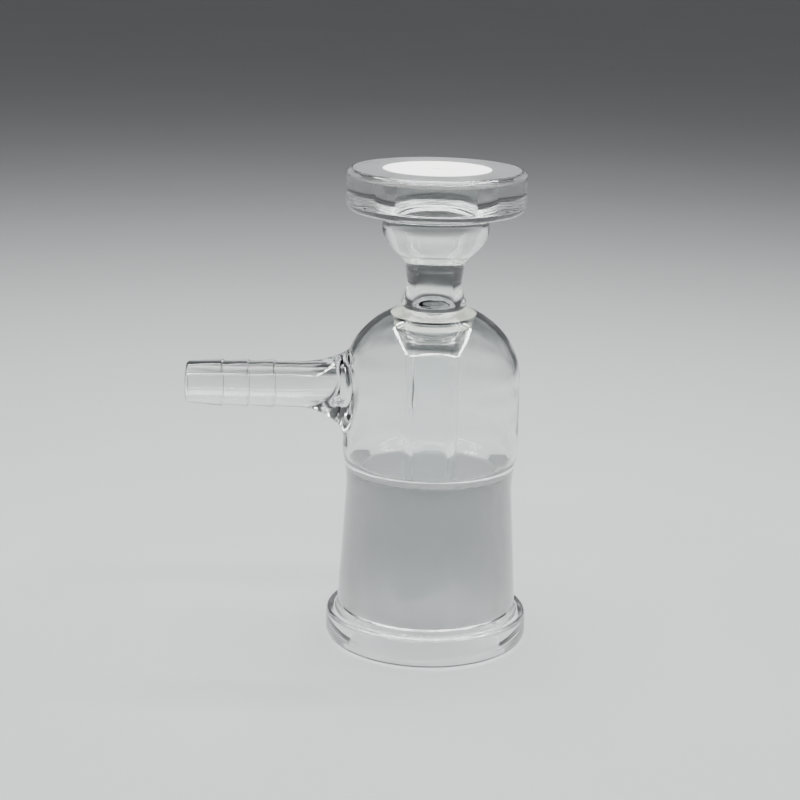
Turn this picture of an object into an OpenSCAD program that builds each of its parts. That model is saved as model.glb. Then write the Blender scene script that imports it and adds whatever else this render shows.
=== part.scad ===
// Vacuum filtration base: a fritted glass support on a bell with a side arm and
// a ground socket joint. The glass pieces are fused together and none of them moves.
// Z is the axis of the bell, z = 0 is the open end of the joint, the side arm points to -X.

/* [Flange] */
// Outside diameter of the flange plate
flange_d = 47; // [45:0.5:50]
// Thickness of the flange plate
flange_h = 11; // [10:0.5:12]
// Diameter of the fritted disc
frit_d = 28.4; // [27:0.2:30]
// Thickness of the fritted disc
frit_h = 3; // [2.5:0.5:4]

/* [Bowl and neck] */
// Outside diameter of the bowl where it meets the flange
bowl_d = 29; // [28:0.5:30]
// Height of the bowl
bowl_h = 15.3; // [14.5:0.1:17]
// Smallest outside diameter of the neck
neck_d = 14.5; // [13.5:0.1:15]
// Diameter of the drain bore in the neck and the drip tube
drain_d = 9.8; // [8:0.2:10]

/* [Bell] */
// Outside diameter of the bell
bell_d = 47; // [46:0.2:48]
// Wall of the bell
bell_wall = 1.4; // [1.2:0.1:1.8]
// Height of the bell's straight wall
bell_straight = 18; // [17:0.2:20]
// Height of the dome above the straight wall
dome_rise = 20.3; // [19:0.1:22]

/* [Ground joint] */
// Large-end diameter of the ground taper
ground_d = 40; // [39.5:0.1:40.5]
// Length of the ground taper
ground_len = 38; // [36:1:40]
// Outside diameter of the reinforcing rim
rim_d = 54.6; // [53:0.2:56]
// Height of the reinforcing rim
rim_h = 8.5; // [8:0.5:10]

/* [Drip tube] */
// Outside diameter of the drip tube
drip_d = 14.5; // [13.5:0.1:15]
// Height of the drip tube's lowest point above the open end of the joint
drip_z = 11; // [10:1:20]

/* [Side arm] */
// Height of the side arm's axis
arm_z = 70.1; // [68:0.1:71]
// Outside diameter of the side arm's plain tube
arm_d = 12.2; // [11.8:0.1:12.6]
// Bore of the side arm
arm_bore_d = 9.2; // [8.5:0.1:9.4]
// Reach of the side arm from the bell's axis to its tip
arm_reach = 65.3; // [64:0.1:68]
// Diameter over the crests of the hose barb
barb_d = 12.7; // [12.6:0.1:13.2]
// Number of crests on the hose barb
barb_count = 3; // [2:1:3]

/* [Hidden] */
$fn = 96;

// Steps along a curved stretch of an outline
steps = 12;

// Ground joint: 1:10 taper, and a clear wall that thins out above the ground zone
taper = 0.1;
ground_z = rim_h + 0.9;
ground_r = ground_d / 2;
ground_top_z = ground_z + ground_len;
ground_top_r = ground_r - ground_len * taper / 2;
socket_foot_r = ground_r + 4.3;
socket_waist_r = ground_top_r + 4.1;
socket_waist_z = ground_top_z - 1.4;
socket_top_z = ground_top_z + 7.6;
thin_z = ground_top_z + 4;

// Rim
rim_r = rim_d / 2;
rim_bore_r = ground_r + 0.8;
rim_top_round = 1.2;
rim_foot_round = 3;
lip_round = 1.2;

// Bell and dome, a half ellipse in section
bell_r = bell_d / 2;
bell_in_r = bell_r - bell_wall;
dome_z = socket_top_z + bell_straight;
dome_in_rise = dome_rise - bell_wall - 0.1;
foot_r = 8.2;
foot_bulge = 0.4;

// Neck, bowl and flange stack
drain_r = drain_d / 2;
seam_z = dome_height(bell_in_r, dome_in_rise, foot_r);
waist_z = dome_z + 25;
waist_r = neck_d / 2;
bowl_z = waist_z + 4.2;
entry_r = drain_r + 1.1;
bowl_foot_r = waist_r + 0.6;
bowl_r = bowl_d / 2;
bowl_in_r = bowl_r - 2.3;
ledge_r = bowl_in_r - 1.4;
flange_z = bowl_z + bowl_h;
flange_r = flange_d / 2;
flange_top_round = 1.6;
flange_foot_round = 2.4;
top_z = flange_z + flange_h;
frit_r = frit_d / 2;

// Ring seal and drip tube
drip_r = drip_d / 2;
seal_r = 10.8;
seal_z = dome_height(bell_in_r, dome_in_rise, seal_r);
seal_edge_h = 2;
seal_flare_h = 7.4;
entry_h = 4;
drip_bevel = 25;

// Side arm, measured outward from the bell's axis
arm_r = arm_d / 2;
arm_bore_r = arm_bore_d / 2;
root_end = 35;
root_start = 17.5;
root_r = 12.4;
barb_r = barb_d / 2;
barb_valley_r = arm_r - 0.15;
barb_tip_r = arm_r - 0.5;
barb_pitch = 6.9;
barb_step = 0.5;
tip_round = 0.7;
first_crest = arm_reach - 9.4;

function arc(centre, radius, from, to, n = steps) =
    [for (i = [0:n]) let (a = from + (to - from) * i / n)
        centre + radius * [cos(a), sin(a)]];

function oval(centre, half_w, half_h, from, to, n = steps) =
    [for (i = [0:n]) let (a = from + (to - from) * i / n)
        centre + [half_w * cos(a), half_h * sin(a)]];

// S-shaped run between two [radius, height] points, with no slope at either end
function blend(from, to, n = steps) =
    [for (i = [0:n]) let (t = i / n, s = t * t * (3 - 2 * t))
        [from.x + (to.x - from.x) * s, from.y + (to.y - from.y) * t]];

function backwards(points) = [for (i = [len(points) - 1:-1:0]) points[i]];

// Height of a dome surface above a given radius, and its angle on the ellipse there
function dome_height(radius, rise, at_r) = dome_z + rise * sqrt(1 - pow(at_r / radius, 2));
function dome_angle(radius, at_r) = acos(at_r / radius);

module turned(outline) {
    rotate_extrude() polygon(outline);
}

// Carries a shape turned about Z out along the side arm
module along_arm() {
    translate([0, 0, arm_z]) rotate([0, -90, 0]) children();
}

module arm_bore(from, to) {
    along_arm() translate([0, 0, from]) cylinder(r = arm_bore_r, h = to - from);
}

function bell_outside() = concat(
    [[bell_r, socket_top_z]],
    oval([0, dome_z], bell_r, dome_rise, 0, dome_angle(bell_r, foot_r), 2 * steps));

function bell_inside() = concat(
    [[bell_in_r, socket_top_z]],
    oval([0, dome_z], bell_in_r, dome_in_rise, 0, dome_angle(bell_in_r, foot_r), 2 * steps));

module flange_plate() {
    foot = flange_foot_round;
    top = flange_top_round;
    color([0.80, 0.88, 0.90, 0.5]) turned(concat(
        [[ledge_r, flange_z]],
        arc([flange_r - foot, flange_z + foot], foot, -90, 0),
        arc([flange_r - top, top_z - top], top, 0, 90),
        [[frit_r, top_z], [frit_r, top_z - frit_h], [ledge_r, top_z - frit_h]]));
}

module frit_disc() {
    color("white") translate([0, 0, top_z - frit_h]) cylinder(r = frit_r, h = frit_h);
}

module collecting_bowl() {
    outside = concat(
        blend([bowl_foot_r, bowl_z], [bowl_r - 0.3, bowl_z + bowl_h - 5.5]),
        [[bowl_r, flange_z]]);
    inside = concat(
        blend([drain_r, bowl_z], [bowl_in_r - 0.2, bowl_z + bowl_h - 4.5]),
        [[ledge_r, flange_z]]);
    color([0.78, 0.90, 0.93, 0.5]) turned(concat(outside, backwards(inside)));
}

module neck_tube() {
    dome_top_z = dome_height(bell_r, dome_rise, foot_r);
    outside = concat(
        [[foot_r, seam_z], [foot_r, dome_top_z]],
        blend([foot_r + foot_bulge, dome_top_z + 0.8], [waist_r, waist_z]),
        blend([waist_r, waist_z], [bowl_foot_r, bowl_z]));
    inside = concat(
        blend([entry_r, seam_z], [drain_r, waist_z]),
        [[drain_r, bowl_z]]);
    color([0.72, 0.87, 0.92, 0.5]) turned(concat(outside, backwards(inside)));
}

module bell_body() {
    color([0.80, 0.90, 0.93, 0.4]) difference() {
        turned(concat(bell_outside(), backwards(bell_inside())));
        arm_bore(bell_in_r - 6, bell_r + 2);
    }
}

module ring_seal() {
    edge_z = seal_z - seal_edge_h;
    flare = blend([drip_r, edge_z - seal_flare_h], [seal_r - 0.6, edge_z]);
    against_dome = oval([0, dome_z], bell_in_r, dome_in_rise,
        dome_angle(bell_in_r, seal_r), dome_angle(bell_in_r, foot_r));
    color([0.65, 0.84, 0.90, 0.6])
        turned(concat(flare, [[seal_r, edge_z + 0.6]], against_dome, [[drip_r, seam_z]]));
}

module drip_tube() {
    inside = concat([[drain_r, drip_z]], blend([drain_r, seam_z - entry_h], [entry_r, seam_z]));
    color([0.70, 0.86, 0.92, 0.5]) difference() {
        turned(concat([[drip_r, seam_z], [drip_r, drip_z]], inside));
        translate([-drip_r, 0, drip_z]) rotate([0, -drip_bevel, 0])
            translate([-drip_d, -drip_d, -drip_d]) cube([4 * drip_d, 2 * drip_d, drip_d]);
    }
}

module side_arm_root() {
    flare = blend([root_r, root_start], [arm_r, root_end]);
    color([0.70, 0.86, 0.92, 0.6]) difference() {
        along_arm() turned(concat([[0, root_start]], flare, [[0, root_end]]));
        turned(concat([[0, 0], [bell_r, 0]], bell_outside(), [[0, seam_z]]));
        arm_bore(root_start - 1, root_end + 1);
    }
}

module hose_barb() {
    crests = [for (i = [0:barb_count - 1]) let (at = first_crest - barb_pitch * i)
        each [[barb_valley_r + 0.05 * i, at - barb_step], [barb_r, at]]];
    outside = concat(
        [[arm_r, root_end]],
        backwards(crests),
        arc([barb_tip_r - tip_round, arm_reach - tip_round], tip_round, 0, 90));
    inside = arc([arm_bore_r + tip_round, arm_reach - tip_round], tip_round, 90, 180);
    color([0.75, 0.88, 0.92, 0.5]) along_arm()
        turned(concat(outside, inside, [[arm_bore_r, root_end]]));
}

module joint_socket() {
    outside = concat(
        [[socket_foot_r, rim_h]],
        blend([socket_waist_r, socket_waist_z], [bell_r, socket_top_z]));
    inside = concat(
        [[rim_bore_r, rim_h], [ground_r, ground_z]],
        blend([ground_top_r, ground_top_z], [bell_in_r, thin_z]),
        [[bell_in_r, socket_top_z]]);
    color([0.62, 0.70, 0.74, 0.7]) turned(concat(outside, backwards(inside)));
}

module joint_rim() {
    color([0.72, 0.82, 0.86, 0.6]) turned(concat(
        arc([rim_bore_r + lip_round, lip_round], lip_round, 180, 270),
        arc([rim_r - rim_foot_round, rim_foot_round], rim_foot_round, -90, 0),
        arc([rim_r - rim_top_round, rim_h - rim_top_round], rim_top_round, 0, 90),
        [[rim_bore_r, rim_h]]));
}

flange_plate();
frit_disc();
collecting_bowl();
neck_tube();
bell_body();
ring_seal();
drip_tube();
side_arm_root();
hose_barb();
joint_socket();
joint_rim();
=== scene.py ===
"""Looks of a fused glass vacuum filtration base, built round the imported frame.

Each CAD node is replaced by a finer glass mesh in the same place. Outlines are worked out in
millimetres as [radius, height] points and turned into metres when a mesh is made. Faces where
two fused pieces meet carry a clear seam material, so light passes them unbent, as in one glass,
apart from the milky film on which the ring seal took.
"""

import math

import bpy
import numpy as np
from mathutils import Matrix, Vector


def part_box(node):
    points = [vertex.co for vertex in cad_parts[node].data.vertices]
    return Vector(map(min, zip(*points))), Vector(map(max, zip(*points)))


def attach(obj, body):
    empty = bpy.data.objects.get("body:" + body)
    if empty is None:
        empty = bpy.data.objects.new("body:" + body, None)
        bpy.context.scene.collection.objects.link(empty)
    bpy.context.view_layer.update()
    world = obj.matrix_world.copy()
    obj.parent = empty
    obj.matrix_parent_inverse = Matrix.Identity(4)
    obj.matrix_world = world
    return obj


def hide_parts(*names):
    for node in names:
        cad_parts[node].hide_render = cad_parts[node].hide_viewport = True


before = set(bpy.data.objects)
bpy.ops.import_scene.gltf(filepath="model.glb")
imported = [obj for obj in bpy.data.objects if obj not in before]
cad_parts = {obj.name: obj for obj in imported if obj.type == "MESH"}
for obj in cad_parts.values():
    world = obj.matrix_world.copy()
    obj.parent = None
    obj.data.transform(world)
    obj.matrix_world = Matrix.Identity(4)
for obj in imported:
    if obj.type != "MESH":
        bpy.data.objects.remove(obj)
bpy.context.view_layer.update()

MM = 0.001

# Columns of points round a turned piece
COLUMNS = 240

# Material slots of a glass piece
CLEAR, GROUND, SEAM, FUSED = 0, 1, 2, 3


# ---------------------------------------------------------------- sizes, in mm, from the frame


def turned_size(node):
    """(radius, lowest z, highest z) of a CAD node turned about the Z axis."""
    low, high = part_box(node)
    return high.y / MM, low.z / MM, high.z / MM


flange_r, flange_z, top_z = turned_size("flange_plate")
frit_r, frit_z, _ = turned_size("frit_disc")
bowl_z = turned_size("collecting_bowl")[1]
seam_z = turned_size("neck_tube")[1]
bell_r, socket_top_z, dome_hole_z = turned_size("bell_body")
seal_r, seal_low_z, _ = turned_size("ring_seal")
drip_r, drip_low_z, _ = turned_size("drip_tube")
rim_r, _, rim_h = turned_size("joint_rim")
barb_low, barb_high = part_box("hose_barb")
arm_z = (barb_low.z + barb_high.z) / 2 / MM
barb_r = (barb_high.z - barb_low.z) / 2 / MM
arm_reach = -barb_low.x / MM
root_end = -barb_high.x / MM

# Walls and bores, which the boxes don't give
drain_r = 4.9
entry_r = 6.0
bowl_foot_r = 7.75
bowl_top_r = 13.95
bowl_in_r = 12.0
ledge_r = 10.8
bell_in_r = bell_r - 1.4
dome_z = socket_top_z + 18.0
dome_rise = 20.3
dome_in_rise = 18.8
dome_hole_r = 8.2
ground_low_z = rim_h + 0.9
ground_high_z = ground_low_z + 38.0
ground_low_r = 20.0
ground_high_r = 18.1
socket_foot_r = 25.1
mouth_r = 20.8
arm_r = 6.1
arm_bore_r = 4.6


# ---------------------------------------------------------------- outlines


def line(a, b, n=2):
    return np.linspace(a, b, n)


def arc(centre, radius, start, end, n=10):
    """Points on a circle, or an ellipse where radius is (half width, half height)."""
    half_w, half_h = radius if isinstance(radius, tuple) else (radius, radius)
    a = np.radians(np.linspace(start, end, n))
    return np.stack([centre[0] + half_w * np.cos(a), centre[1] + half_h * np.sin(a)], 1)


def path(*parts):
    """Joins runs of points, dropping the repeated point at each join."""
    joined = [np.asarray(parts[0], float)]
    for part in parts[1:]:
        part = np.asarray(part, float)
        same = np.allclose(joined[-1][-1], part[0], atol=1e-6)
        joined.append(part[1:] if same else part)
    return np.concatenate(joined)


def spline(points, step=0.4):
    """A smooth curve through the points, with no kinks: a cubic spline over the chord length."""
    p = np.asarray(points, float)
    t = np.concatenate([[0], np.cumsum(np.linalg.norm(np.diff(p, axis=0), axis=1))])
    h = np.diff(t)
    n = len(p)
    system = np.zeros((n, n))
    right = np.zeros((n, p.shape[1]))
    system[0, 0] = system[-1, -1] = 1
    for i in range(1, n - 1):
        system[i, i - 1 : i + 2] = h[i - 1], 2 * (h[i - 1] + h[i]), h[i]
        right[i] = 6 * ((p[i + 1] - p[i]) / h[i] - (p[i] - p[i - 1]) / h[i - 1])
    bend = np.linalg.solve(system, right)
    s = np.linspace(0, t[-1], max(int(t[-1] / step) + 1, 4))
    k = np.clip(np.searchsorted(t, s, side="right") - 1, 0, n - 2)
    a = ((t[k + 1] - s) / h[k])[:, None]
    b = 1 - a
    h2 = (h[k] ** 2)[:, None] / 6
    return a * p[k] + b * p[k + 1] + ((a**3 - a) * bend[k] + (b**3 - b) * bend[k + 1]) * h2


def rounded(points, radius, n=7):
    """The polyline with each inner corner turned into an arc-like bend of about that radius."""
    p = np.asarray(points, float)
    out = [p[:1]]
    for before, corner, after in zip(p[:-2], p[1:-1], p[2:]):
        into, away = corner - before, after - corner
        reach = min(radius, 0.45 * np.linalg.norm(into), 0.45 * np.linalg.norm(away))
        start = corner - into / np.linalg.norm(into) * reach
        end = corner + away / np.linalg.norm(away) * reach
        t = np.linspace(0, 1, n)[:, None]
        out.append((1 - t) ** 2 * start + 2 * t * (1 - t) * corner + t**2 * end)
    out.append(p[-1:])
    return np.concatenate(out)


def filled(points, step):
    """The polyline with points added so that none are further apart than step."""
    out = [points[:1]]
    for a, b in zip(points[:-1], points[1:]):
        n = max(int(math.ceil(np.linalg.norm(b - a) / step)), 1)
        out.append(np.linspace(a, b, n + 1)[1:])
    return np.concatenate(out)


def from_height(base, points):
    """Points given as [radius, height above the base height]."""
    return [[radius, base + height] for radius, height in points]


def smooth_step(x, low, high):
    """0 up to low, 1 from high on, and a smooth rise between."""
    t = np.clip((x - low) / (high - low), 0, 1)
    return t * t * (3 - 2 * t)


# ---------------------------------------------------------------- the lampworker's hand


def blown(z):
    """How freely the glass was worked at a height: none on the ground joint and the flange."""
    above_joint = smooth_step(z, socket_top_z - 5, socket_top_z + 5)
    return above_joint * (1 - smooth_step(z, flange_z - 4.5, flange_z - 0.5))


def outer_wave(angle, z):
    """Small departures of the outside from round, in mm."""
    swell = 0.5 * np.cos(2 * angle + 0.7 + 0.02 * z) + 0.3 * np.cos(3 * angle - 0.04 * z)
    return 0.07 * blown(z) * (swell + 0.2 * np.cos(5 * angle + 0.3 * z))


def inner_wave(angle, z):
    """Small departures of the inside, where the softened wall sagged and drew out, in mm."""
    swell = 0.5 * np.cos(2 * angle - 0.4 + 0.05 * z) + 0.4 * np.cos(3 * angle + 1.9 + 0.09 * z)
    draw = 0.3 * np.cos(0.9 * z + np.cos(angle)) + 0.2 * np.cos(7 * angle + 0.23 * z)
    return 0.10 * blown(z) * (swell + draw)


# ---------------------------------------------------------------- meshes


class Shell:
    """A closed mesh under construction: points in mm, faces, loop normals and material slots."""

    def __init__(self):
        self.points = []
        self.count = 0
        self.faces = []
        self.normals = []
        self.slots = []

    def add(self, points):
        """Adds points and returns their indices in the same shape."""
        flat = np.asarray(points, float).reshape(-1, 3)
        index = np.arange(self.count, self.count + len(flat))
        self.points.append(flat)
        self.count += len(flat)
        return index.reshape(np.shape(points)[:-1])

    def skin(self, index, normals, slot, closed=True):
        """Faces over a grid of point indices, wound so that they face along the normals."""
        if closed:
            index = np.concatenate([index, index[:, :1]], 1)
            normals = np.concatenate([normals, normals[:, :1]], 1)
        points = np.concatenate(self.points)
        quads = np.stack([index[:-1, :-1], index[:-1, 1:], index[1:, 1:], index[1:, :-1]], -1)
        lean = np.stack(
            [normals[:-1, :-1], normals[:-1, 1:], normals[1:, 1:], normals[1:, :-1]], -2
        )
        a, b, c, d = np.moveaxis(points[quads], -2, 0)
        face = np.cross(c - a, d - b)
        if (face * lean.sum(-2)).sum() < 0:
            quads, lean = quads[..., ::-1], lean[..., ::-1, :]
        for quad, normal in zip(quads.reshape(-1, 4), lean.reshape(-1, 4, 3)):
            keep = [k for k in range(4) if quad[k] != quad[k - 1]]
            if len(keep) >= 3:
                self.faces.append([int(quad[k]) for k in keep])
                self.normals.extend(normal[k] for k in keep)
                self.slots.append(slot)

    def build(self, name, materials):
        mesh = bpy.data.meshes.new(name)
        mesh.from_pydata((np.concatenate(self.points) * MM).tolist(), [], self.faces)
        for material in materials:
            mesh.materials.append(material)
        mesh.polygons.foreach_set("material_index", self.slots)
        mesh.polygons.foreach_set("use_smooth", [True] * len(self.faces))
        mesh.normals_split_custom_set([tuple(n) for n in self.normals])
        mesh.validate()
        piece = bpy.data.objects.new(name, mesh)
        bpy.context.scene.collection.objects.link(piece)
        return piece


def unit(v):
    size = np.linalg.norm(v, axis=-1, keepdims=True)
    return v / np.where(size > 1e-12, size, 1)


def grid_normals(points, closed=True):
    """Unit normals of a grid of points, from its own slopes, with no sign promised."""
    along = np.gradient(points, axis=0, edge_order=2 if len(points) > 2 else 1)
    if closed:
        around = np.roll(points, -1, 1) - np.roll(points, 1, 1)
    else:
        around = np.gradient(points, axis=1, edge_order=2)
    return unit(np.cross(around, along))


def around_z(outline, angles, wave=None):
    """Grid of points: an outline of [radius, height] turned about Z."""
    radius = np.repeat(outline[:, :1], len(angles), 1)
    height = np.repeat(outline[:, 1:], len(angles), 1)
    if wave is not None:
        radius = radius + np.where(radius > 0.5, wave(angles[None], height), 0)
    return np.stack([radius * np.cos(angles), radius * np.sin(angles), height], -1)


EVEN = np.linspace(0, 2 * np.pi, COLUMNS, endpoint=False)


def lathe(runs, angles=EVEN, place=around_z):
    """A shell turned from a closed outline, given as runs of (points, slot, wave)."""
    nudge = 1e-3
    outline = np.concatenate([points for points, _, _ in runs])
    r, z = outline.T
    turn = np.sign((r * np.roll(z, -1) - np.roll(r, -1) * z).sum())
    shell = Shell()
    first = last = None
    for points, slot, wave in runs:
        grid = place(points, angles, wave)
        normals = grid_normals(grid)
        tangent = np.gradient(points, axis=0)
        out = np.stack([tangent[:, 1], -tangent[:, 0]], 1) * turn
        want = place(points + out * nudge, angles, wave) - place(points, angles, wave)
        flip = np.sign((normals * want).sum(-1, keepdims=True))
        normals = np.where(flip == 0, unit(want), normals * flip)
        rows = list(range(len(points)))
        index = np.zeros(grid.shape[:2], int)
        if last is not None:
            index[0] = last
            rows.remove(0)
        if points is runs[-1][0] and first is not None:
            index[-1] = first
            rows.remove(len(points) - 1)
        for row in rows:
            if points[row, 0] < 1e-6:
                index[row] = shell.add(grid[row, :1])[0]
            else:
                index[row] = shell.add(grid[row])
        if first is None and points[0, 0] > 1e-6:
            first = index[0]
        last = index[-1]
        shell.skin(index, normals, slot)
    return shell


# ---------------------------------------------------------------- materials


# Refractive index of borosilicate glass
GLASS_IOR = 1.473


def new_material(name):
    material = bpy.data.materials.new(name)
    material.use_nodes = True
    nodes = material.node_tree.nodes
    nodes.clear()
    output = nodes.new("ShaderNodeOutputMaterial")
    return material, nodes, material.node_tree.links, output


def coordinates(nodes):
    return nodes.new("ShaderNodeTexCoord").outputs["Object"]


def noise(nodes, links, scale, detail=2.0, rough=0.5):
    texture = nodes.new("ShaderNodeTexNoise")
    texture.inputs["Scale"].default_value = scale
    texture.inputs["Detail"].default_value = detail
    texture.inputs["Roughness"].default_value = rough
    links.new(coordinates(nodes), texture.inputs["Vector"])
    return texture.outputs["Fac"]


def between_tones(nodes, links, factor, first, second):
    """The colour that lies between two tones by a factor of 0..1."""
    tone = nodes.new("ShaderNodeMix")
    tone.data_type = "RGBA"
    tone.inputs["A"].default_value = (*first, 1)
    tone.inputs["B"].default_value = (*second, 1)
    links.new(factor, tone.inputs["Factor"])
    return tone.outputs["Result"]


def ramp(nodes, links, source, low, high):
    """Maps 0..1 from source to low..high."""
    node = nodes.new("ShaderNodeMapRange")
    node.inputs["To Min"].default_value = low
    node.inputs["To Max"].default_value = high
    links.new(source, node.inputs["Value"])
    return node.outputs["Result"]


def bump(nodes, links, height, strength, distance, under=None):
    node = nodes.new("ShaderNodeBump")
    node.inputs["Strength"].default_value = strength
    node.inputs["Distance"].default_value = distance
    links.new(height, node.inputs["Height"])
    if under is not None:
        links.new(under, node.inputs["Normal"])
    return node.outputs["Normal"]


def lit_through(nodes, links, shader, share):
    """The shader, but lamps light what is behind it, as they do through thin glass."""
    through = nodes.new("ShaderNodeBsdfTransparent")
    through.inputs["Color"].default_value = (share, share, share, 1)
    mix = nodes.new("ShaderNodeMixShader")
    links.new(nodes.new("ShaderNodeLightPath").outputs["Is Shadow Ray"], mix.inputs[0])
    links.new(shader.outputs[0], mix.inputs[1])
    links.new(through.outputs[0], mix.inputs[2])
    return mix.outputs[0]


def clear_glass():
    """Fire-polished borosilicate: a soft ripple from the flame and faint handling film."""
    material, nodes, links, output = new_material("clear_glass")
    shader = nodes.new("ShaderNodeBsdfPrincipled")
    shader.inputs["Base Color"].default_value = (0.975, 0.992, 0.985, 1)
    shader.inputs["IOR"].default_value = GLASS_IOR
    shader.inputs["Transmission Weight"].default_value = 1.0
    film = noise(nodes, links, 55, 4, 0.6)
    links.new(ramp(nodes, links, film, 0.0, 0.012), shader.inputs["Roughness"])
    swell = bump(nodes, links, noise(nodes, links, 55, 1.0), 0.5, 0.0004)
    ripple = noise(nodes, links, 190, 1.5)
    links.new(bump(nodes, links, ripple, 0.5, 0.0001, swell), shader.inputs["Normal"])
    links.new(lit_through(nodes, links, shader, 0.72), output.inputs["Surface"])
    return material


def ground_glass(name, dark, light, through):
    """Glass ground matt with fine grit: it lets light through, but scatters all of it."""
    material, nodes, links, output = new_material(name)
    shader = nodes.new("ShaderNodeBsdfPrincipled")
    shader.inputs["IOR"].default_value = GLASS_IOR
    shader.inputs["Transmission Weight"].default_value = through
    cloud = noise(nodes, links, 140, 5, 0.6)
    # The base colour between the two tones is painted shade: grey, where the frosting itself is
    # pale. The cloud varies it at random.
    links.new(between_tones(nodes, links, cloud, dark, light), shader.inputs["Base Color"])
    links.new(ramp(nodes, links, cloud, 0.46, 0.60), shader.inputs["Roughness"])
    grit = noise(nodes, links, 5200, 3, 0.7)
    links.new(bump(nodes, links, grit, 0.5, 0.00004), shader.inputs["Normal"])
    links.new(lit_through(nodes, links, shader, 0.45), output.inputs["Surface"])
    return material


def fused_film():
    """The milky, faintly greenish skin left inside the glass where the ring seal took."""
    material, nodes, links, output = new_material("fused_film")
    shader = nodes.new("ShaderNodeBsdfPrincipled")
    shader.inputs["Alpha"].default_value = 0.5
    shader.inputs["IOR"].default_value = GLASS_IOR
    cloud = noise(nodes, links, 420, 4, 0.6)
    cream = between_tones(nodes, links, cloud, (0.74, 0.78, 0.68), (0.92, 0.93, 0.84))
    links.new(cream, shader.inputs["Base Color"])
    links.new(ramp(nodes, links, cloud, 0.25, 0.45), shader.inputs["Roughness"])
    links.new(bump(nodes, links, cloud, 0.3, 0.0001), shader.inputs["Normal"])
    links.new(shader.outputs[0], output.inputs["Surface"])
    return material


def fused_seam():
    """Where two fused pieces meet there is no surface left: light goes straight on."""
    material, nodes, links, output = new_material("fused_seam")
    shader = nodes.new("ShaderNodeBsdfTransparent")
    links.new(shader.outputs[0], output.inputs["Surface"])
    return material


def sintered_glass():
    """White fritted glass: fused grains with dark pores between them."""
    material, nodes, links, output = new_material("sintered_glass")
    shader = nodes.new("ShaderNodeBsdfPrincipled")
    grains = nodes.new("ShaderNodeTexVoronoi")
    grains.inputs["Scale"].default_value = 3600
    links.new(coordinates(nodes), grains.inputs["Vector"])
    tone = nodes.new("ShaderNodeValToRGB")
    tone.color_ramp.elements[0].color = (0.96, 0.96, 0.945, 1)
    tone.color_ramp.elements[1].color = (0.80, 0.80, 0.78, 1)
    tone.color_ramp.elements[0].position = 0.25
    tone.color_ramp.elements[1].position = 0.85
    links.new(grains.outputs["Distance"], tone.inputs["Fac"])
    links.new(tone.outputs["Color"], shader.inputs["Base Color"])
    links.new(ramp(nodes, links, noise(nodes, links, 900), 0.55, 0.85), shader.inputs["Roughness"])
    links.new(bump(nodes, links, grains.outputs["Distance"], 0.6, 0.00008), shader.inputs["Normal"])
    links.new(shader.outputs[0], output.inputs["Surface"])
    return material


def paper_floor():
    """Pale matt studio paper."""
    material, nodes, links, output = new_material("paper_floor")
    shader = nodes.new("ShaderNodeBsdfPrincipled")
    cloud = noise(nodes, links, 6, 3)
    paper = between_tones(nodes, links, cloud, (0.41, 0.415, 0.42), (0.44, 0.445, 0.45))
    links.new(paper, shader.inputs["Base Color"])
    shader.inputs["Roughness"].default_value = 0.75
    links.new(bump(nodes, links, noise(nodes, links, 2500), 0.2, 0.0001), shader.inputs["Normal"])
    links.new(shader.outputs[0], output.inputs["Surface"])
    return material


clear = clear_glass()
seam, film = fused_seam(), fused_film()
# Both ground glass tones are grey as painted shade. The flange's top ring is painted darker still,
# a shaded copy of the joint's ground glass.
painted_shade_ground_top = ground_glass("painted_shade_ground_top", (0.27, 0.285, 0.29), (0.34, 0.355, 0.36), 0.7)
painted_shade_ground_cone = ground_glass("painted_shade_ground_cone", (0.40, 0.415, 0.42), (0.50, 0.515, 0.52), 0.68)
GLASS = [clear, painted_shade_ground_cone, seam, film]
FLANGE = [clear, painted_shade_ground_top, seam, film]
FRIT = [sintered_glass()]


# ---------------------------------------------------------------- turned pieces


def dome_arc(radius, rise, from_r, to_r, n):
    """Points down a dome's half ellipse from one radius to another."""
    start, end = (math.degrees(math.acos(r / radius)) for r in (from_r, to_r))
    return arc([0, dome_z], (radius, rise), start, end, n)


def film_height(at_r):
    """Height of the face, under the neck, on which the ring seal and the drip tube took."""
    return film_z + film_slope * (collar_r - at_r)


def film_line(from_r, to_r, n):
    """Points along that face from one radius to another."""
    return line([from_r, film_height(from_r)], [to_r, film_height(to_r)], n)


fillet_r = 1.6
bowl_brim = [bowl_top_r + fillet_r, flange_z]
neck_foot = [dome_hole_r, dome_hole_z]
socket_foot = [socket_foot_r, rim_h]
run_out_end = [bell_in_r, socket_top_z]

# The ring seal's edge, and the film across its top in to the bore
collar_r = seal_r - 0.5
film_z = seal_low_z + 6.9
film_in_r = entry_r - 0.3
film_slope = 0.17


def flange():
    top_round, foot_round = 1.6, 2.4
    ground_r = flange_r - top_round
    side = path(
        arc([ground_r, top_z - top_round], top_round, 90, 0),
        line([flange_r, top_z - top_round], [flange_r, flange_z + foot_round], 5),
        arc([flange_r - foot_round, flange_z + foot_round], foot_round, 0, -90, 14),
        line([flange_r - foot_round, flange_z], bowl_brim, 12),
    )
    return lathe([
        (line([frit_r, top_z], [ground_r, top_z], 16), GROUND, None),
        (side, CLEAR, None),
        (line(bowl_brim, [ledge_r, flange_z], 5), SEAM, None),
        (line([ledge_r, flange_z], [ledge_r, frit_z], 6), CLEAR, None),
        (line([ledge_r, frit_z], [frit_r, frit_z], 3), SEAM, None),
        (line([frit_r, frit_z], [frit_r, top_z], 3), SEAM, None),
    ])


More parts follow.
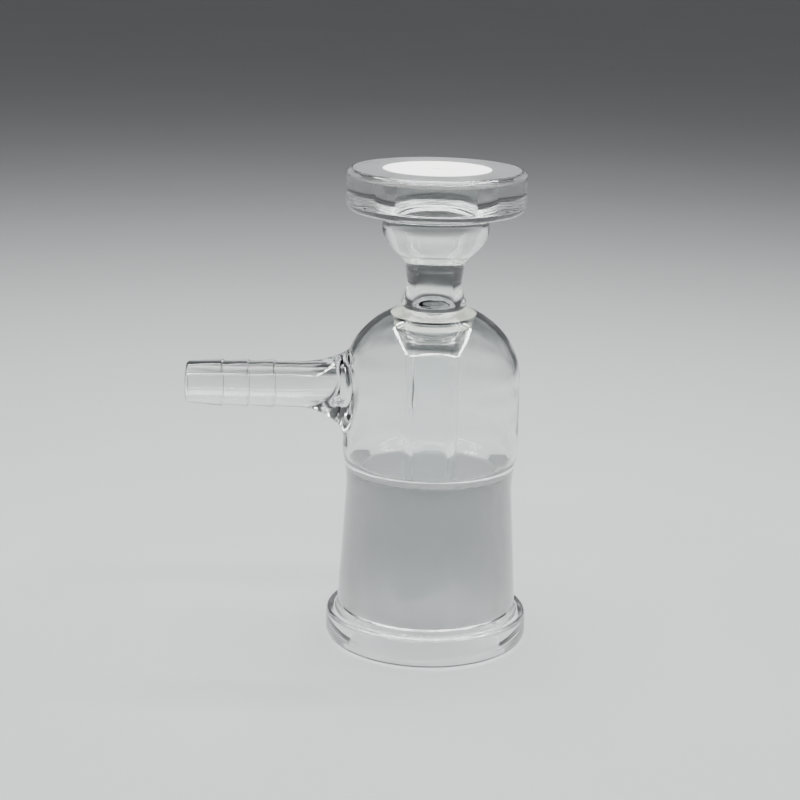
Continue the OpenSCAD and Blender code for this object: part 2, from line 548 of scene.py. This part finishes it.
def bowl():
    outside = path(
        arc([bowl_top_r + fillet_r, flange_z - fillet_r], fillet_r, 90, 180, 9),
        spline([
            [bowl_top_r, flange_z - fillet_r],
            *from_height(bowl_z, [[14.0, 11.0], [13.95, 9.6], [13.1, 7.5], [11.4, 5.4], [9.1, 3.25],
                                  [8.15, 2.1], [7.85, 1.0], [bowl_foot_r, 0]]),
        ]),
    )
    floor_edge = [6.1, bowl_z + 3.4]
    inside = path(
        rounded([[drain_r, bowl_z], [drain_r, bowl_z + 2.7], floor_edge], 0.5),
        spline([
            floor_edge,
            *from_height(bowl_z, [[8.2, 4.7], [10.2, 6.8], [11.5, 9.1], [bowl_in_r, 11.2],
                                  [11.95, 12.7], [11.55, 14.0], [11.1, 14.8]]),
            [ledge_r, flange_z],
        ]),
    )
    return lathe([
        (outside, CLEAR, outer_wave),
        (line([bowl_foot_r, bowl_z], [drain_r, bowl_z], 4), SEAM, None),
        (inside, CLEAR, inner_wave),
        (line([ledge_r, flange_z], bowl_brim, 5), SEAM, None),
    ])


def neck():
    outside = spline([
        *from_height(bowl_z, [[bowl_foot_r, 0], [7.55, -1.2], [7.4, -2.4], [7.25, -3.8],
                              [7.35, -5.2], [7.7, -6.3], [8.1, -7.25], [8.5, -8.1], [8.7, -8.9],
                              [8.6, -9.6]]),
        neck_foot,
    ], 0.3)
    inside = spline([
        [film_in_r, film_height(film_in_r)],
        [5.95, seam_z - 1.6],
        [entry_r, seam_z],
        *from_height(bowl_z, [[5.9, -10.6], [5.4, -8.0], [5.0, -5.6], [drain_r, -3.6],
                              [drain_r, 0]]),
    ])
    return lathe([
        (outside, CLEAR, outer_wave),
        (line(neck_foot, [dome_hole_r, film_height(dome_hole_r)], 4), SEAM, None),
        (film_line(dome_hole_r, film_in_r, 4), SEAM, None),
        (inside, CLEAR, inner_wave),
        (line([drain_r, bowl_z], [bowl_foot_r, bowl_z], 4), SEAM, None),
    ])


def seal_ring():
    rim_low = [collar_r - 0.6, film_z - 1.4]
    side = from_height(seal_low_z, [[drip_r, 0], [7.45, 2.0], [8.1, 3.8], [9.0, 4.8]])
    flare = path(
        spline([*side, rim_low]),
        rounded([rim_low, [collar_r, film_z - 0.9], [collar_r, film_z]], 0.5),
    )
    return lathe([
        (flare, CLEAR, inner_wave),
        (film_line(collar_r, drip_r, 8), FUSED, inner_wave),
        (line([drip_r, film_height(drip_r)], [drip_r, seal_low_z], 6), SEAM, inner_wave),
    ])


def drip_stem():
    """The drip tube, ending in a tip cut on a slant and melted round."""
    slant = math.tan(math.radians(25))
    slant_top = drip_low_z + 12
    tip_mid = (drip_r + drain_r) / 2
    tip_half = (drip_r - drain_r) / 2
    tip_z = drip_low_z + tip_half
    top = film_height(film_in_r)

    def slanted(outline, angles, wave):
        grid = around_z(outline, angles, wave)
        share = 1 - smooth_step(grid[..., 2], drip_low_z, slant_top)
        rise = slant * (grid[..., 0] + drip_r)
        grid[..., 2] += share * rise
        return grid

    def stem_wave(angle, z):
        above_tip = smooth_step(z, drip_low_z - 1, drip_low_z + 3)
        free = above_tip * (1 - smooth_step(z, seal_low_z - 8, seal_low_z - 2))
        return 0.05 * free * np.cos(2 * angle + 0.05 * z) + 0.02 * np.cos(3 * angle + 0.11 * z)

    outside = path(
        filled(line([drip_r, seal_low_z], [drip_r, tip_z]), 1.2),
        arc([tip_mid, tip_z], tip_half, 0, -180, 14),
    )
    inside = path(
        filled(line([drain_r, tip_z], [drain_r, top - 3.0]), 1.2),
        spline(from_height(top, [[drain_r, -3.0], [4.95, -2.0], [5.25, -0.9], [film_in_r, 0]])),
    )
    return lathe([
        (film_line(film_in_r, drip_r, 4), FUSED, None),
        (line([drip_r, film_height(drip_r)], [drip_r, seal_low_z], 6), SEAM, None),
        (outside, CLEAR, stem_wave),
        (inside, CLEAR, stem_wave),
    ], place=slanted)


def socket():
    waist = [22.25, socket_top_z - 12.0]
    corner = [24.2, rim_h + 2.7]
    outside = path(
        spline([*from_height(socket_top_z, [[bell_r, 0], [bell_r - 0.04, -1.4], [23.2, -4.0],
                                            [22.75, -6.6], [22.42, -9.0]]), waist]),
        filled(line(waist, corner), 2.0),
        arc([corner[0] + 1.0, rim_h + 1.1], (1.0, 1.1), 180, 265, 8)[1:],
        [socket_foot],
    )
    chamfer = rounded([[mouth_r, rim_h], [mouth_r, rim_h + 0.4], [ground_low_r, ground_low_z]], 0.3)
    frost_edge = [ground_high_r, ground_high_z - 0.6]
    frost_end = [ground_high_r + 0.25, ground_high_z + 0.5]
    ground = path(
        filled(line([ground_low_r, ground_low_z], frost_edge), 0.8),
        spline([frost_edge, [ground_high_r + 0.04, ground_high_z], frost_end], 0.2),
    )
    run_out = spline([
        frost_end,
        *from_height(socket_top_z, [[19.2, -6.4], [20.6, -5.4], [21.6, -4.2], [22.03, -2.6],
                                    [bell_in_r, -1.2]]),
        run_out_end,
    ], 0.25)
    return lathe([
        (outside, CLEAR, outer_wave),
        (line(socket_foot, [mouth_r, rim_h], 5), SEAM, None),
        (chamfer, CLEAR, None),
        (ground, GROUND, None),
        (run_out, CLEAR, inner_wave),
        (line(run_out_end, [bell_r, socket_top_z], 4), SEAM, None),
    ])


def rim_collar():
    foot_round, top_round, lip = 3.0, 1.2, 1.2
    shoulder_r = rim_r - 0.15
    outside = path(
        line(socket_foot, [shoulder_r - top_round, rim_h], 4),
        arc([shoulder_r - top_round, rim_h - top_round], top_round, 90, 4),
        spline([[shoulder_r, rim_h - top_round - 0.1], [rim_r, rim_h - 3.2],
                [rim_r, foot_round + 0.4]]),
        arc([rim_r - foot_round, foot_round], foot_round, 0, -90, 16),
        line([rim_r - foot_round, 0], [mouth_r + lip, 0], 5),
        arc([mouth_r + lip, lip], lip, -90, -180),
        line([mouth_r, lip], [mouth_r, rim_h], 8),
    )
    return lathe([
        (outside, CLEAR, None),
        (line([mouth_r, rim_h], socket_foot, 5), SEAM, None),
    ])


def frit():
    """The disc: its top is a field of fused grains, raised and sunk a few hundredths."""
    grain = 0.14
    edge_round = 0.05
    grain_rise, highest_rise = 0.035, 0.06
    columns = 2 * COLUMNS
    rows = int(frit_r / grain)
    mean_z = top_z - highest_rise
    radii = np.linspace(0, frit_r - edge_round, rows)
    top = np.stack([radii, np.full(rows, mean_z)], 1)[::-1]
    under = path(
        line([0, frit_z], [frit_r, frit_z], 6),
        line([frit_r, frit_z], [frit_r, mean_z - edge_round], 4),
        [[frit_r - edge_round, mean_z]],
    )
    field = np.random.default_rng(11).normal(size=(rows, columns))
    field = (field + np.roll(field, 1, 1) + np.roll(field, 1, 0)) / 3

    def grainy(outline, angles, wave):
        grid = around_z(outline, angles)
        if len(outline) == rows:
            fade = smooth_step(frit_r - outline[:, :1], 0, 0.5)
            grid[..., 2] += np.minimum(grain_rise * field * fade, highest_rise)
        return grid

    angles = np.linspace(0, 2 * np.pi, columns, endpoint=False)
    return lathe([(under, 0, None), (top, 0, None)], angles, grainy)


# ---------------------------------------------------------------- bell and side arm


# The stretch of the bell that is meshed anew round the arm: columns each side, rows and heights
PATCH_COLUMNS = 30
PATCH_ROWS = 62
PATCH_LOW, PATCH_HIGH = socket_top_z + 0.6, arm_z + 16.5


def bell_rows(radius, rise, top_r):
    """A bell face from a hole in its dome down to the socket, with shared rows by the arm."""
    def radius_at(z):
        return radius * math.sqrt(max(1 - (max(z - dome_z, 0) / rise) ** 2, 0))

    dome = dome_arc(radius, rise, top_r, radius_at(PATCH_HIGH), 40)
    beside_arm = [[radius_at(z), z] for z in np.linspace(PATCH_HIGH, PATCH_LOW, PATCH_ROWS + 1)]
    foot = line([radius, PATCH_LOW], [radius, socket_top_z])
    return path(dome, beside_arm, foot)


def bell_outline():
    """The bell's outside from the hole in the dome down to the socket."""
    return bell_rows(bell_r, dome_rise, dome_hole_r)


def bell_lining():
    """The bell's inside from the ring seal's edge down to the socket."""
    return bell_rows(bell_in_r, dome_in_rise, seal_r)


def surface_of(outline, wave):
    """A function of (angle, z) that gives points on a turned surface, for z above the joint."""
    order = np.argsort(outline[:, 1])
    heights, radii = outline[order, 1], outline[order, 0]

    def point(angle, z):
        r = np.interp(z, heights, radii) + wave(angle, z)
        return np.stack([r * np.cos(angle), r * np.sin(angle), z + 0 * angle], -1)

    return point


outer_face = surface_of(bell_outline(), outer_wave)
inner_face = surface_of(bell_lining(), inner_wave)


def face_normals(face, angle, z, sign):
    """Unit normals of a bell face, out of the bell where sign is 1 and into it where it is -1."""
    nudge = 1e-3
    around = face(angle + nudge, z) - face(angle - nudge, z)
    up = face(angle, z + nudge) - face(angle, z - nudge)
    return sign * unit(np.cross(around, up))


def on_face(face, phi, rho):
    """(angle, z) on the bell of the points seen at clock angle phi and radius rho of the arm."""
    passes = 6
    y, z = rho * np.sin(phi), arm_z + rho * np.cos(phi)
    angle = np.full_like(z, np.pi)
    for _ in range(passes):
        r = np.linalg.norm(face(angle, z)[..., :2], axis=-1)
        angle = np.pi - np.arcsin(np.clip(y / r, -1, 1))
    return angle, z


# Steps from the weld's edge in to the arm's hole, shared by the bell and the weld
SADDLE_LEVELS = np.linspace(0, 1, 9)


def weld_radius(phi):
    """Reach of the weld round the arm: it sags, so it is widest underneath."""
    mean_reach, sag = 11.8, 1.4
    return mean_reach - sag * np.cos(phi)


class Patch:
    """The stretch of a bell face round the arm, meshed with rays from the arm to its edge."""

    def __init__(self, outline, angles):
        z = outline[:, 1]
        self.top = int(np.argmin(abs(z - PATCH_HIGH)))
        self.low = self.top + PATCH_ROWS
        centre = len(angles) // 2
        self.left, self.right = centre - PATCH_COLUMNS, centre + PATCH_COLUMNS
        along_top = [(self.top, col) for col in range(self.left, self.right)]
        down_right = [(row, self.right) for row in range(self.top, self.low)]
        along_low = [(self.low, col) for col in range(self.right, self.left, -1)]
        up_left = [(row, self.left) for row in range(self.low, self.top, -1)]
        self.rows, self.cols = np.array(along_top + down_right + along_low + up_left).T
        self.angle, self.z = angles[self.cols], z[self.rows]


def rays(edge, ring, levels):
    """(angle, z) grids from an edge of the patch in to a ring, both as (angle, z)."""
    t = levels[:, None]
    return edge[0] + (ring[0] - edge[0]) * t, edge[1] + (ring[1] - edge[1]) * t


def face_with_hole(shell, points, face, wave, patch, sign, rings):
    """Skins a bell face round the arm's hole: gives its point indices and the hole's edge."""
    grid = around_z(points, EVEN, wave)
    index = shell.add(grid)
    normals = face_normals(face, EVEN[None] + 0 * grid[..., 0], grid[..., 2], sign)
    shell.skin(index[: patch.top + 1], normals[: patch.top + 1], CLEAR)
    shell.skin(index[patch.low :], normals[patch.low :], CLEAR)
    band = slice(patch.top, patch.low + 1)
    order = np.r_[patch.right : COLUMNS, 0 : patch.left + 1]
    shell.skin(index[band][:, order], normals[band][:, order], CLEAR, closed=False)
    edge = (patch.angle, patch.z)
    edge_index = index[patch.rows, patch.cols]
    for ring, levels, slot in rings:
        angle, z = rays(edge, ring, levels)
        inner = shell.add(face(angle[1:], z[1:]))
        stack = np.concatenate([edge_index[None], inner])
        shell.skin(stack, face_normals(face, angle, z, sign), slot)
        edge, edge_index = ring, inner[-1]
    return index, edge_index


def dome_collar(shell, start, lining_edge, hole_edge):
    """Skins the thick glass under the neck: its side, its face on the ring seal, and its hole.

    start is [radius, height] where the lining ends; the edges are rows of point indices.
    """
    outward = np.stack([np.cos(EVEN), np.sin(EVEN), 0 * EVEN], -1)
    collar = rounded([start, [collar_r, start[1] - 0.8], [collar_r, film_z]], 0.6)
    collar_grid = around_z(collar, EVEN, inner_wave)
    collar_index = np.concatenate([lining_edge, shell.add(collar_grid[1:])])
    side = grid_normals(collar_grid)
    side = side * np.sign((side * outward).sum(-1, keepdims=True))
    shell.skin(collar_index, side, CLEAR)
    buried_grid = around_z(film_line(collar_r, dome_hole_r, 8), EVEN, inner_wave)
    buried_index = np.concatenate([collar_index[-1:], shell.add(buried_grid[1:])])
    under = grid_normals(buried_grid)
    under = under * np.sign(-under[..., 2:])
    shell.skin(buried_index, under, SEAM)
    shell.skin(np.stack([buried_index[-1], hole_edge]), np.stack([-outward] * 2), SEAM)


def bell():
    """The bell, with the side arm's hole, and the clock angles of the columns round that hole."""
    shell = Shell()
    outline, lining = bell_outline(), bell_lining()
    outer_patch, inner_patch = Patch(outline, EVEN), Patch(lining, EVEN)
    y = outer_face(outer_patch.angle, outer_patch.z)[:, 1]
    phi = np.arctan2(y, outer_patch.z - arm_z)
    ease = 1 - (1 - np.linspace(0, 1, 15)) ** 1.6
    weld = on_face(outer_face, phi, weld_radius(phi))
    outer_hole = on_face(outer_face, phi, np.full_like(phi, arm_bore_r))
    inner_hole = on_face(inner_face, phi, np.full_like(phi, arm_bore_r))
    outer, outer_rim = face_with_hole(
        shell, outline, outer_face, outer_wave, outer_patch, 1,
        [(weld, ease, CLEAR), (outer_hole, SADDLE_LEVELS, SEAM)])
    inner, inner_rim = face_with_hole(
        shell, lining, inner_face, inner_wave, inner_patch, -1,
        [(inner_hole, ease, CLEAR)])

    towards_axis = unit(np.stack([0 * phi, -np.sin(phi), -np.cos(phi)], -1))
    shell.skin(np.stack([outer_rim, inner_rim]), np.stack([towards_axis] * 2), CLEAR)
    down = np.zeros((2, COLUMNS, 3))
    down[..., 2] = -1
    shell.skin(np.stack([outer[-1], inner[-1]]), down, SEAM)
    dome_collar(shell, lining[0], inner[:1], outer[0])
    return shell, phi


def along_arm(outline, angles, wave=None):
    """Grid of points: an outline of [radius, reach] turned about the side arm's axis."""
    radius = np.repeat(outline[:, :1], len(angles), 1)
    reach = np.repeat(outline[:, 1:], len(angles), 1)
    if wave is not None:
        radius = radius + wave(angles[None], reach)
    return np.stack(
        [-reach, radius * np.sin(angles), arm_z + radius * np.cos(angles)], -1)


def arm_wave(angle, reach):
    """Small departures of the drawn tube from round."""
    return 0.04 * np.cos(2 * angle + 0.16 * reach) + 0.02 * np.cos(3 * angle - 0.3 * reach)


def arm_weld(phi):
    """The flared weld: it leaves the bell along its surface and runs out into the tube."""
    shell = Shell()
    flare_rows, bore_rows = 60, 14
    leave_pull, arrive_pull = 0.75, 13.0
    rho = weld_radius(phi)
    foot = outer_face(*on_face(outer_face, phi, rho))
    inward = unit(outer_face(*on_face(outer_face, phi, rho - 0.05)) - foot)
    tube = along_arm(np.array([[arm_r, root_end]]), phi, arm_wave)[0]
    leave = inward * (rho[:, None] * leave_pull)
    arrive = np.array([-arrive_pull, 0, 0])
    t = np.linspace(0, 1, flare_rows)[:, None, None]
    flare = ((2 * t**3 - 3 * t**2 + 1) * foot + (t**3 - 2 * t**2 + t) * leave
             + (-2 * t**3 + 3 * t**2) * tube + (t**3 - t**2) * arrive)
    index = shell.add(flare)
    radial = np.stack([0 * phi, np.sin(phi), np.cos(phi)], -1)
    normals = grid_normals(flare)
    normals = normals * np.sign((normals * (radial + [-0.6, 0, 0])).sum(-1, keepdims=True))
    shell.skin(index, normals, CLEAR)

    weld = on_face(outer_face, phi, rho)
    hole = on_face(outer_face, phi, np.full_like(phi, arm_bore_r))
    angle, z = rays(weld, hole, SADDLE_LEVELS)
    saddle = np.concatenate([index[:1], shell.add(outer_face(angle[1:], z[1:]))])
    shell.skin(saddle, face_normals(outer_face, angle, z, -1), SEAM)

    start = outer_face(*hole)
    end = along_arm(np.array([[arm_bore_r, root_end]]), phi, arm_wave)[0]
    bore = start + (end - start) * np.linspace(0, 1, bore_rows)[:, None, None]
    bore_index = np.concatenate([saddle[-1:], shell.add(bore[1:])])
    shell.skin(bore_index, np.repeat(-radial[None], bore_rows, 0), CLEAR)
    out = np.repeat(np.array([[[-1.0, 0, 0]]]), len(phi), 1)
    shell.skin(np.stack([bore_index[-1], index[-1]]), np.repeat(out, 2, 0), SEAM)
    return shell


def barb_tail(phi):
    """The side arm's tube with its barb crests, softened by the flame, and a melted tip."""
    first_crest, crest_pitch, crest_count = arm_reach - 9.4, 6.9, 3
    valley_r = arm_r - 0.13
    tip_r, tip_round = arm_r - 0.5, 0.9
    lip_w, lip_h = 0.3, 0.7
    corners = [[arm_r, root_end], [arm_r, root_end + 3]]
    for i in reversed(range(crest_count)):
        crest = first_crest - crest_pitch * i
        corners += [[valley_r, crest - 0.5], [barb_r, crest - 0.1], [barb_r - 0.03, crest + 0.4]]
    corners.append([tip_r, arm_reach - tip_round])
    outside = filled(rounded(corners, 0.3, 9), 0.35)
    tip = path(
        arc([tip_r - tip_round, arm_reach - tip_round], tip_round, 0, 90),
        arc([arm_bore_r + lip_w, arm_reach - lip_h], (lip_w, lip_h), 90, 180),
    )
    inside = filled(line([arm_bore_r, arm_reach - lip_h], [arm_bore_r, root_end]), 0.6)
    return lathe([
        (path(outside, tip), CLEAR, arm_wave),
        (inside, CLEAR, arm_wave),
        (line([arm_bore_r, root_end], [arm_r, root_end], 4), SEAM, arm_wave),
    ], phi, along_arm)


# ---------------------------------------------------------------- the object


def place(shell, name, node, slot, materials=GLASS):
    """Builds a piece and puts it in its CAD node's place."""
    piece = shell.build(name, materials)
    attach(piece, "root")
    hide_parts(node)


place(flange(), "flange", "flange_plate", "ground_flange_glass", FLANGE)
place(frit(), "frit", "frit_disc", "sintered_glass", FRIT)
place(bowl(), "bowl", "collecting_bowl", "clear_glass")
place(neck(), "neck", "neck_tube", "clear_glass")
bell_shell, clock = bell()
place(bell_shell, "bell", "bell_body", "clear_glass")
place(seal_ring(), "seal_ring", "ring_seal", "clear_glass")
place(drip_stem(), "drip_stem", "drip_tube", "clear_glass")
place(arm_weld(clock), "arm_weld", "side_arm_root", "clear_glass")
place(barb_tail(clock), "barb_tail", "hose_barb", "clear_glass")
place(socket(), "socket", "joint_socket", "ground_joint_glass")
place(rim_collar(), "rim_collar", "joint_rim", "clear_glass")


# ---------------------------------------------------------------- studio


def studio_floor():
    half = 6.0
    drop = -0.02 * MM
    mesh = bpy.data.meshes.new("floor")
    corners = [(-half, -half, drop), (half, -half, drop), (half, half, drop), (-half, half, drop)]
    mesh.from_pydata(corners, [], [(0, 1, 2, 3)])
    mesh.materials.append(paper_floor())
    floor = bpy.data.objects.new("floor", mesh)
    bpy.context.scene.collection.objects.link(floor)


def softbox(name, size, power, x, y, z):
    """A rectangular lamp that looks straight down."""
    light = bpy.data.lights.new(name, "AREA")
    light.shape = "RECTANGLE"
    light.size, light.size_y = size
    light.energy = power
    lamp = bpy.data.objects.new(name, light)
    lamp.location = (x, y, z)
    bpy.context.scene.collection.objects.link(lamp)


def studio_lights():
    """Strips in a square overhead, whose lines the glass mirrors, a broad box and a soft sun."""
    strip_l, strip_w, strip_power = 0.5, 0.024, 1.6
    strip_out, strip_z = 0.27, 0.5
    for name, x, y in [("front", 0, -1), ("back", 0, 1), ("left", -1, 0), ("right", 1, 0)]:
        size = (strip_l, strip_w) if x == 0 else (strip_w, strip_l)
        softbox(name + "_strip", size, strip_power, x * strip_out, y * strip_out, strip_z)
    softbox("overhead", (0.42, 0.42), 2.6, 0, 0.1, 0.62)
    daylight = bpy.data.lights.new("ceiling", "SUN")
    daylight.energy = 0.5
    daylight.angle = math.radians(75)
    bpy.context.scene.collection.objects.link(bpy.data.objects.new("ceiling", daylight))


def studio_sky():
    """A dim room, paler towards the horizon, so that glass edges have something dark to bend."""
    world = bpy.data.worlds.new("studio")
    bpy.context.scene.world = world
    world.use_nodes = True
    nodes, links = world.node_tree.nodes, world.node_tree.links
    nodes.clear()
    output = nodes.new("ShaderNodeOutputWorld")
    background = nodes.new("ShaderNodeBackground")
    direction = nodes.new("ShaderNodeTexCoord").outputs["Generated"]
    height = nodes.new("ShaderNodeSeparateXYZ")
    tone = nodes.new("ShaderNodeValToRGB")
    tone.color_ramp.elements[0].position = 0.08
    tone.color_ramp.elements[0].color = (0.13, 0.133, 0.137, 1)
    tone.color_ramp.elements[1].position = 0.5
    tone.color_ramp.elements[1].color = (0.06, 0.062, 0.065, 1)
    links.new(direction, height.inputs[0])
    links.new(height.outputs["Z"], tone.inputs["Fac"])
    links.new(tone.outputs["Color"], background.inputs["Color"])
    links.new(background.outputs[0], output.inputs["Surface"])


def camera():
    """Looks down on the base from in front, at the distance of a product photograph."""
    pitch, roll = math.radians(14.88), math.radians(1.33)
    stand = Matrix.Translation((-8.3 * MM, -496 * MM, (top_z + 69.6) * MM))
    data = bpy.data.cameras.new("camera")
    data.sensor_width = 36
    data.lens = 86.5
    data.clip_start, data.clip_end = 0.01, 30
    seen = bpy.data.objects.new("camera", data)
    bpy.context.scene.collection.objects.link(seen)
    turn = Matrix.Rotation(math.pi / 2 - pitch, 4, "X") @ Matrix.Rotation(roll, 4, "Z")
    seen.matrix_world = stand @ turn
    bpy.context.scene.camera = seen


studio_floor()
studio_sky()
studio_lights()
camera()

bpy.context.scene.view_settings.look = "AgX - Medium High Contrast"
cycles = bpy.context.scene.cycles
cycles.max_bounces = 32
cycles.transmission_bounces = 32
cycles.transparent_max_bounces = 48
cycles.glossy_bounces = 12
